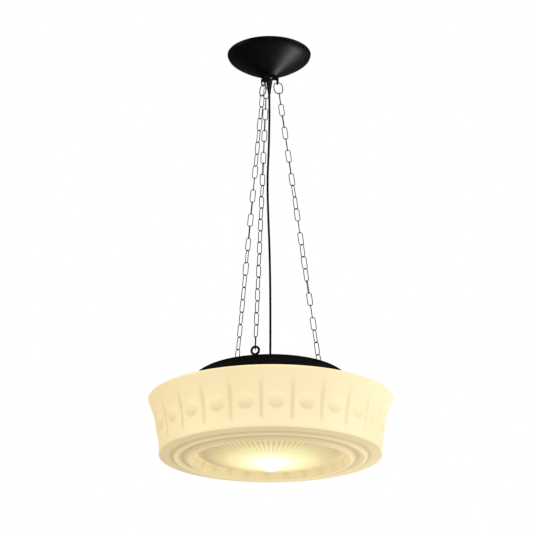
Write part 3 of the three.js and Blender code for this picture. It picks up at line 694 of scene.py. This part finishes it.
def shade_outline():
    """The outside from the knob up to the neck, as rows of radius, height and the zone each row lies in."""
    rows = []
    for step in range(13):
        turn = pi / 2 * step / 12
        rows.append((KNOB_RADIUS * sin(turn) ** 1.1, dome_low - KNOB_DEPTH * cos(turn) ** 1.3, "knob"))
    rows[0] = (0.0, dome_low - KNOB_DEPTH, "knob")
    for step in range(1, 43):
        radius = KNOB_RADIUS + 2 + (DOME_RADIUS - 1 - KNOB_RADIUS - 2) * step / 42
        rows.append((radius, dome_low + DOME_SAG * (radius / DOME_RADIUS) ** 2, "dome"))
    stepped = [(radius, 0, rim_height + above) for radius, above in UNDERSIDE]
    dome_edge = (DOME_RADIUS + 0.5, 0, dome_low + DOME_SAG)
    base_corner = (wall_radius(WALL_FOOT), 0, base_height + 2.4)
    underside = flowing([dome_edge, *stepped, base_corner], 3)
    rows += [(point.x, point.z, "underside") for point in underside]
    for step in range(1, 47):
        share = WALL_FOOT * (1 - step / 46)
        rows.append((wall_radius(share), lip_height - share * shade_depth, "wall"))
    rolled_lip = [
        (LIP_RADIUS, 0, lip_height),
        (LIP_RADIUS - 1.4, 0, lip_height + 1.7),
        (LIP_RADIUS - 4.4, 0, lip_height + 2.7),
        (LIP_RADIUS - 9, 0, lip_height + 3.3),
        (LIP_RADIUS - 18, 0, lip_height + 2),
    ]
    neck = [
        (NECK_RADIUS + 18, 0, neck_foot + 0.8),
        (NECK_RADIUS + 4, 0, neck_foot - 0.2),
        (NECK_RADIUS, 0, neck_foot + 3.4),
        (NECK_RADIUS, 0, neck_top - 7),
        (NECK_RADIUS + 1.6, 0, neck_top - 5),
        (NECK_RADIUS + NECK_BEAD, 0, neck_top - 3.2),
        (NECK_RADIUS + NECK_BEAD - 0.3, 0, neck_top - 0.9),
        (NECK_RADIUS + 1.8, 0, neck_top - 0.1),
    ]
    lip = flowing(rolled_lip + neck, 4)
    rows += [(point.x, point.z, "lip") for point in lip[1:]]
    return rows


def boss_at(across, radius):
    """How much of a boss's height there is at a share of the panel across and a radius."""
    aside = (across - 0.5) * tau / PANELS * radius / BOSS_HALF_WIDTH
    return exp(-(aside ** 2) - ((radius - BOSS_CIRCLE) / BOSS_HALF_LENGTH) ** 2)


def pressed_pattern(zone, radius, height, bearing):
    """How far the pattern stands out of the plain surface, and the painted shading of the glass there."""
    across = ((bearing - FIRST_GROOVE) * PANELS / tau) % 1
    if zone == "wall":
        share = (lip_height - height) / shade_depth
        panel = tau / PANELS * radius
        from_groove = min(across, 1 - across) * panel
        reach = ease(0.1, 0.42, share) * (1 - ease(0.8, 0.93, share))
        groove = reach * exp(-((from_groove / GROOVE_HALF_WIDTH) ** 2))
        drop = (share - BUTTON_SHARE) * shade_depth
        spread = ((across - 0.5) * panel) ** 2 + drop ** 2
        button = max(0, 1 - spread / BUTTON_RADIUS ** 2)
        button_lower_shade = ease(0, 0.35, button) * ease(-5, 8, drop)
        out = BUTTON_HEIGHT * ease(0, 0.75, button) - GROOVE_DEPTH * groove
        # The brightness darkens the grooves and the lower half of each raised button: painted shade.
        return out, 1 - 0.19 * groove - 0.13 * button_lower_shade
    if zone == "dome":
        fade = ease(22, 60, radius) * (1 - ease(101, DOME_RADIUS, radius))
        ray = 0.5 + 0.5 * cos(RIBS * (bearing - FIRST_GROOVE))
        boss = boss_at(across, radius)
        recess = ease(60, 95, radius)
        # The brightness darkens the glass between the ribs and out towards the recess, so the ribs read
        # lighter: painted shade.
        return RIB_HEIGHT * fade * ray + BOSS_HEIGHT * boss, 1 - 0.32 * fade * (1 - ray) - 0.08 * recess
    if zone == "underside":
        boss = boss_at(across, radius)
        bead = exp(-(((radius - 114.5) / 2.4) ** 2)) + exp(-(((radius - 134.5) / 2) ** 2))
        step = exp(-(((radius - 125) / 5) ** 2)) + exp(-(((radius - 140.5) / 3) ** 2))
        recess = 1 - ease(109, 112.5, radius)
        # The beads are lightened as painted highlights, and the steps, the recess and the bosses darkened as
        # painted shade.
        return BOSS_HEIGHT * boss, 0.92 + 0.2 * bead - 0.24 * step - 0.06 * recess - 0.1 * boss
    return 0, 1


def shade_mesh():
    """Corners, faces and the painted shading at each corner, for the outside and the smooth inside."""
    outside = shade_outline()
    inside = [(NECK_RADIUS - 1, neck_top - 0.1), (NECK_RADIUS - GLASS_WALL, neck_top - 0.9),
              (NECK_RADIUS - GLASS_WALL, neck_foot - GLASS_WALL + 2),
              (NECK_RADIUS - 2, neck_foot - GLASS_WALL), (LIP_RADIUS - 18, lip_height - 2.6)]
    for share in (0.08, 0.2, 0.45, 0.7, 0.9):
        inside.append((wall_radius(share) - GLASS_WALL - 0.5, lip_height - share * shade_depth))
    inside += [(BASE_RADIUS - 10, base_height + GLASS_WALL), (DOME_RADIUS, dome_low + DOME_SAG + GLASS_WALL)]
    for share in (0.75, 0.5, 0.25):
        inside.append((DOME_RADIUS * share, dome_low + DOME_SAG * share ** 2 + GLASS_WALL))
    inside.append((0.0, dome_low + GLASS_WALL))
    rows = outside + [(radius, height, "inside") for radius, height in inside]
    corners, faces, clear, rings = [], [], [], []
    for number, (radius, height, zone) in enumerate(rows):
        start = len(corners)
        if radius == 0:
            corners.append((0, 0, height))
            clear.append(1)
            rings.append([start] * COLUMNS)
            continue
        before, after = rows[max(number - 1, 0)], rows[min(number + 1, len(rows) - 1)]
        slope = Vector((after[0] - before[0], after[1] - before[1])).normalized()
        for column in range(COLUMNS):
            bearing = FIRST_GROOVE + tau * column / COLUMNS
            out, light = pressed_pattern(zone, radius, height, bearing)
            spread = radius + out * slope.y
            corners.append((spread * cos(bearing), spread * sin(bearing), height - out * slope.x))
            clear.append(light)
        rings.append(list(range(start, start + COLUMNS)))
    for low, high in zip(rings, rings[1:]):
        for column in range(COLUMNS):
            follow = (column + 1) % COLUMNS
            face = [low[column], low[follow], high[follow], high[column]]
            face = [index for n, index in enumerate(face) if index not in face[:n]]
            faces.append(face)
    return corners, faces, clear


# The bulb's light through the opal glass is a painted glow in the glass's emission; its middle sits 12 mm in
# front of the axis.
GLOW_SHIFT = (-0.001, 0.012, 0) # added to a place in the glass, so the glow's middle is 12 mm to the front
GLOW_REACH = 0.12


def opal():
    """Cream opal glass with the bulb's light painted in as a glow: brightest a little in front of the axis,
    and dimmed by the painted shading stored on the mesh.
    """
    material = bpy.data.materials.new("opal_glass")
    material.use_nodes = True
    nodes, links = material.node_tree.nodes, material.node_tree.links
    shader = nodes["Principled BSDF"]
    shader.inputs["Specular IOR Level"].default_value = 0.3
    shader.inputs["Emission Strength"].default_value = 1
    place = nodes.new("ShaderNodeTexCoord")
    flat = nodes.new("ShaderNodeVectorMath")
    flat.operation = "MULTIPLY_ADD"
    flat.inputs[1].default_value = (1, 1, 0)
    flat.inputs[2].default_value = GLOW_SHIFT
    links.new(place.outputs["Object"], flat.inputs[0])
    reach = nodes.new("ShaderNodeVectorMath")
    reach.operation = "LENGTH"
    links.new(flat.outputs["Vector"], reach.inputs[0])
    spread = nodes.new("ShaderNodeMapRange")
    spread.inputs["From Max"].default_value = GLOW_REACH
    links.new(reach.outputs["Value"], spread.inputs["Value"])
    # Painted glow: the bulb's light through the glass, whitest near the axis and fading to a dimmer cream out
    # to the wall.
    glow = nodes.new("ShaderNodeValToRGB")
    glow.color_ramp.interpolation = "EASE"
    steps = [
        (0.0, (1, 1, 0.95)),
        (0.16, (1, 1, 0.85)),
        (0.3, (1, 0.95, 0.56)),
        (0.46, (0.9, 0.8, 0.4)),
        (0.62, (0.74, 0.6, 0.31)),
        (0.8, (0.56, 0.44, 0.24)),
        (1.0, (0.63, 0.51, 0.275)),
    ]
    for number, (position, colour) in enumerate(steps):
        if number < 2:
            stop = glow.color_ramp.elements[number]
            stop.position = position
        else:
            stop = glow.color_ramp.elements.new(position)
        stop.color = (*colour, 1)
    links.new(spread.outputs["Result"], glow.inputs["Fac"])
    # The mesh attribute "clear" carries the painted shade and painted highlights of the pressing, and scales
    # the painted glow.
    shading_attribute = nodes.new("ShaderNodeAttribute")
    shading_attribute.attribute_name = "clear"
    cloud = nodes.new("ShaderNodeTexNoise")
    cloud.inputs["Scale"].default_value = 22
    cloud.inputs["Detail"].default_value = 3
    links.new(place.outputs["Object"], cloud.inputs["Vector"])
    streak = nodes.new("ShaderNodeMapRange")
    streak.inputs["To Min"].default_value = 0.96
    streak.inputs["To Max"].default_value = 1.04
    links.new(cloud.outputs["Fac"], streak.inputs["Value"])
    glow_shading = nodes.new("ShaderNodeMath")
    glow_shading.operation = "MULTIPLY"
    links.new(shading_attribute.outputs["Fac"], glow_shading.inputs[0])
    links.new(streak.outputs["Result"], glow_shading.inputs[1])
    lit = nodes.new("ShaderNodeVectorMath")
    lit.operation = "SCALE"
    links.new(glow.outputs["Color"], lit.inputs[0])
    links.new(glow_shading.outputs["Value"], lit.inputs["Scale"])
    links.new(lit.outputs["Vector"], shader.inputs["Emission Color"])
    cream = nodes.new("ShaderNodeValToRGB")
    cream.color_ramp.elements[0].color = (0.78, 0.7, 0.5, 1)
    cream.color_ramp.elements[1].color = (0.84, 0.77, 0.58, 1)
    links.new(cloud.outputs["Fac"], cream.inputs["Fac"])
    # The cream base colour is scaled by the same painted shading.
    body = nodes.new("ShaderNodeVectorMath")
    body.operation = "SCALE"
    links.new(cream.outputs["Color"], body.inputs[0])
    links.new(shading_attribute.outputs["Fac"], body.inputs["Scale"])
    links.new(body.outputs["Vector"], shader.inputs["Base Color"])
    rub = nodes.new("ShaderNodeMapRange")
    rub.inputs["To Min"].default_value = 0.38
    rub.inputs["To Max"].default_value = 0.5
    links.new(cloud.outputs["Fac"], rub.inputs["Value"])
    links.new(rub.outputs["Result"], shader.inputs["Roughness"])
    ripple = nodes.new("ShaderNodeTexNoise")
    ripple.inputs["Scale"].default_value = 90
    links.new(place.outputs["Object"], ripple.inputs["Vector"])
    skin = nodes.new("ShaderNodeBump")
    skin.inputs["Strength"].default_value = 0.15
    skin.inputs["Distance"].default_value = 0.0004
    links.new(ripple.outputs["Fac"], skin.inputs["Height"])
    links.new(skin.outputs["Normal"], shader.inputs["Normal"])
    return material


shade_corners, shade_faces, shade_painted_shading = shade_mesh()
shade = piece("shade_pressing", [(shade_corners, shade_faces)], opal(), 60)
# The attribute "clear" stores the painted shade and painted highlights of the pressing for the glass
# material.
painted_shading = shade.data.attributes.new("clear", "FLOAT", "POINT")
painted_shading.data.foreach_set("value", shade_painted_shading)
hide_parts("glass_shade")
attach(shade, "pan_and_shade")


# ---- Lampholder ----
# A threaded E27 holder moulded in black plastic: a cap on a hollow nipple, a shell screwed on to it with grip
# ribs round it, and a white contact plate inside. The lead drops through the nipple.
HOLDER_RADIUS = 19
HOLDER_BORE = 14.4
HOLDER_WAIST = 18.1
HOLDER_RIBS = 24

hollow_thread("holder_tube", "holder_nipple", NIPPLE_RADIUS, NIPPLE_BORE)
softened("holder_nut", "holder_lock_nut", zinc, 0.3)
softened("pan_lead", "lead_lower", cord_jacket, 0.1)
softened("holder_contact", "contact_plate", white_moulding, 0.4)
cap_top, cap_foot = top_of("holder_cap"), foot_of("holder_cap")
cap_outline = [(16.6, cap_foot), (HOLDER_RADIUS - 0.5, cap_foot), (HOLDER_RADIUS, cap_foot + 0.5),
               (HOLDER_RADIUS, cap_top - 4.6), (HOLDER_RADIUS - 0.6, cap_top - 3.2),
               (HOLDER_RADIUS - 3, cap_top - 1.1), (HOLDER_RADIUS - 6, cap_top), (5.3, cap_top),
               (5.3, cap_top - 2.4), (12.6, cap_top - 2.4), (16.6, cap_top - 6.4)]
cap = piece("holder_top", [turned(cap_outline, 72, closed=True)], nylon)
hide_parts("holder_cap")
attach(cap, "pan_and_shade")
shell_top, shell_foot = top_of("holder_shell"), foot_of("holder_shell")
shell_outline = [(HOLDER_BORE, shell_foot), (HOLDER_RADIUS - 0.8, shell_foot),
                 (HOLDER_RADIUS, shell_foot + 0.8), (HOLDER_RADIUS, shell_foot + 2.4),
                 (HOLDER_WAIST, shell_foot + 3.2),
                 (HOLDER_WAIST, shell_top - 3.2), (HOLDER_RADIUS, shell_top - 2.4),
                 (HOLDER_RADIUS, shell_top - 0.5), (HOLDER_RADIUS - 0.5, shell_top), (HOLDER_BORE, shell_top)]
shell_sides = 6 * HOLDER_RIBS
shell_corners, shell_faces = turned(shell_outline, shell_sides, closed=True)
for index, (x, y, z) in enumerate(shell_corners):
    waist = 4 <= index // shell_sides <= 5
    if waist and index % 6 in (2, 3):
        grow = (HOLDER_RADIUS - 0.1) / HOLDER_WAIST
        shell_corners[index] = (x * grow, y * grow, z)
holder_shell = piece("holder_skirt", [(shell_corners, shell_faces)], nylon)
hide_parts("holder_shell")
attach(holder_shell, "pan_and_shade")


# ---- Bulb ----
# An E27 globe lamp: a rolled-thread cap of plated metal and a frosted glass ball, lit warm white. The shade
# hides it.
GLOBE_RADIUS = 30
BULB_THREAD_RADIUS = 13.2
BULB_THREAD_DEPTH = 0.8

bulb_cap_top, bulb_cap_foot = top_of("bulb_cap"), foot_of("bulb_cap")
rolled = [(BULB_THREAD_RADIUS - BULB_THREAD_DEPTH * (0.5 + 0.5 * cos(tau * step / 8)),
           bulb_cap_foot + 2 + 0.45 * step) for step in range(41)]
cap_shape = [(0, bulb_cap_foot), (12.6, bulb_cap_foot), *rolled, (8, bulb_cap_top - 2),
             (4.5, bulb_cap_top - 0.6), (3.6, bulb_cap_top), (0, bulb_cap_top)]
bulb_cap = piece("lamp_cap", [turned(cap_shape, 48)], zinc)
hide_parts("bulb_cap")
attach(bulb_cap, "pan_and_shade")
bulb_foot, bulb_neck = foot_of("bulb_glass"), top_of("bulb_glass")
globe = [(GLOBE_RADIUS * sin(turn), bulb_foot + GLOBE_RADIUS - GLOBE_RADIUS * cos(turn))
         for turn in [0.72 * pi * step / 26 for step in range(27)]]
globe[0] = (0, bulb_foot)
globe += [(15.4, bulb_neck - 11), (13.6, bulb_neck - 6), (12.9, bulb_neck - 0.4), (12.4, bulb_neck),
          (0, bulb_neck)]
frosted = finish_of("frosted_glass", (0.86, 0.84, 0.78), (0.92, 0.9, 0.85), 0.5, (0.35, 0.5), 0.02)
frosted_shader = frosted.node_tree.nodes["Principled BSDF"]
frosted_shader.inputs["Emission Color"].default_value = (1, 0.9, 0.7, 1)
frosted_shader.inputs["Emission Strength"].default_value = 3
bulb = piece("lamp_globe", [turned(globe, 64)], frosted)
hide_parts("bulb_glass")
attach(bulb, "pan_and_shade")


# ---- Studio ----
# Four soft lights: a large one from the front and above, a warm fill on the left, a cool fill on the right,
# and a small narrow one low on the right for the canopy's sheen. The floor glows, and the surround is fully
# white, only to the camera, so both light the lamp weakly.
def soft_light(name, place, target, size, power, colour=(1, 1, 1), spread=180):
    """A square light turned to face a point. Spread is the angle of its beam in degrees."""
    light = bpy.data.lights.new(name, "AREA")
    light.size = size
    light.spread = radians(spread)
    light.energy = power
    light.color = colour
    lamp = bpy.data.objects.new(name, light)
    lamp.location = place
    lamp.rotation_euler = (Vector(target) - Vector(place)).to_track_quat("-Z", "Y").to_euler()
    bpy.context.scene.collection.objects.link(lamp)


FLOOR = -3
FLOOR_REACH = 16
floor_corners = [(-FLOOR_REACH, -FLOOR_REACH, FLOOR), (FLOOR_REACH, -FLOOR_REACH, FLOOR),
                 (FLOOR_REACH, FLOOR_REACH, FLOOR), (-FLOOR_REACH, FLOOR_REACH, FLOOR)]
floor_mesh = bpy.data.meshes.new("floor")
floor_mesh.from_pydata(floor_corners, [], [(0, 1, 2, 3)])
floor = bpy.data.objects.new("floor", floor_mesh)
bpy.context.scene.collection.objects.link(floor)
floor_paint = finish_of("floor_paint", (0.8, 0.8, 0.79), (0.84, 0.84, 0.83), 8, (0.7, 0.8), 0.1, gloss=0.2)
floor_shader = floor_paint.node_tree.nodes["Principled BSDF"]
floor_shader.inputs["Emission Color"].default_value = (0.6, 0.6, 0.59, 1)
floor_seen = floor_paint.node_tree.nodes.new("ShaderNodeLightPath")
floor_paint.node_tree.links.new(floor_seen.outputs["Is Camera Ray"], floor_shader.inputs["Emission Strength"])
floor_mesh.materials.append(floor_paint)

soft_light("front_light", (0.5, -2.3, 0.7), (0, 0, -0.55), 1.6, 24)
soft_light("left_fill", (-2.1, -0.5, 0), (0, 0, -0.5), 1.4, 13, (1, 0.9, 0.74))
soft_light("right_fill", (2.1, -0.5, 0), (0, 0, -0.5), 1.4, 13, (0.97, 1, 1))
soft_light("low_sheen", (1.15, 0.72, -1.55), (0.03, -0.03, -0.02), 0.5, 0.9, spread=25)

world = bpy.data.worlds.new("surround")
bpy.context.scene.world = world
world.use_nodes = True
world_nodes, world_links = world.node_tree.nodes, world.node_tree.links
seen = world_nodes["Background"]
seen.inputs["Color"].default_value = (1, 1, 1, 1)
seen.inputs["Strength"].default_value = 1
felt = world_nodes.new("ShaderNodeBackground")
felt.inputs["Color"].default_value = (1, 0.98, 0.95, 1)
felt.inputs["Strength"].default_value = 0.1
ray = world_nodes.new("ShaderNodeLightPath")
choose = world_nodes.new("ShaderNodeMixShader")
world_links.new(ray.outputs["Is Camera Ray"], choose.inputs["Fac"])
world_links.new(felt.outputs["Background"], choose.inputs[1])
world_links.new(seen.outputs["Background"], choose.inputs[2])
world_links.new(choose.outputs["Shader"], world_nodes["World Output"].inputs["Surface"])
bpy.context.scene.view_settings.view_transform = "Standard"
